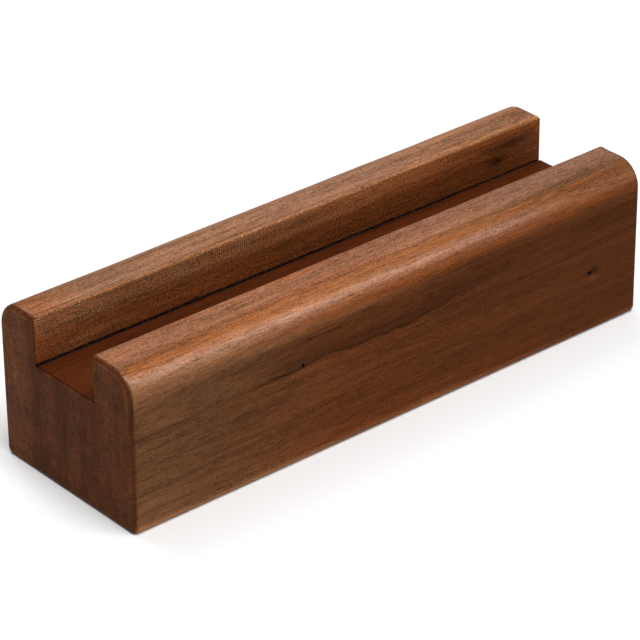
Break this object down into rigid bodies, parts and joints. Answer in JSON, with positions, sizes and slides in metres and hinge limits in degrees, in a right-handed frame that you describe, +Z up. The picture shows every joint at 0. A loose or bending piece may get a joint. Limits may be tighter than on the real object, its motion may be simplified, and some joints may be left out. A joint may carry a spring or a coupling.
{
  "type": "table number holder",
  "caption": "Low wooden block with rounded top edges and a straight open-ended slot along its top that stands a table number card or sign upright.",
  "frame": {"origin": "middle of the base, on the surface that the block stands on", "axes": "+X along the block and its slot, +Y to the back, +Z up"},
  "size_m": [0.152, 0.0472, 0.0397],
  "materials": {
    "rear_stave_wood": "satin",
    "front_stave_wood": "satin",
    "cured_glue": "matte"
  },
  "bodies": {
    "root": {"rear_stave": "rear_stave_wood", "front_stave": "front_stave_wood", "glue_line": "cured_glue"}
  },
  "joints": []
}
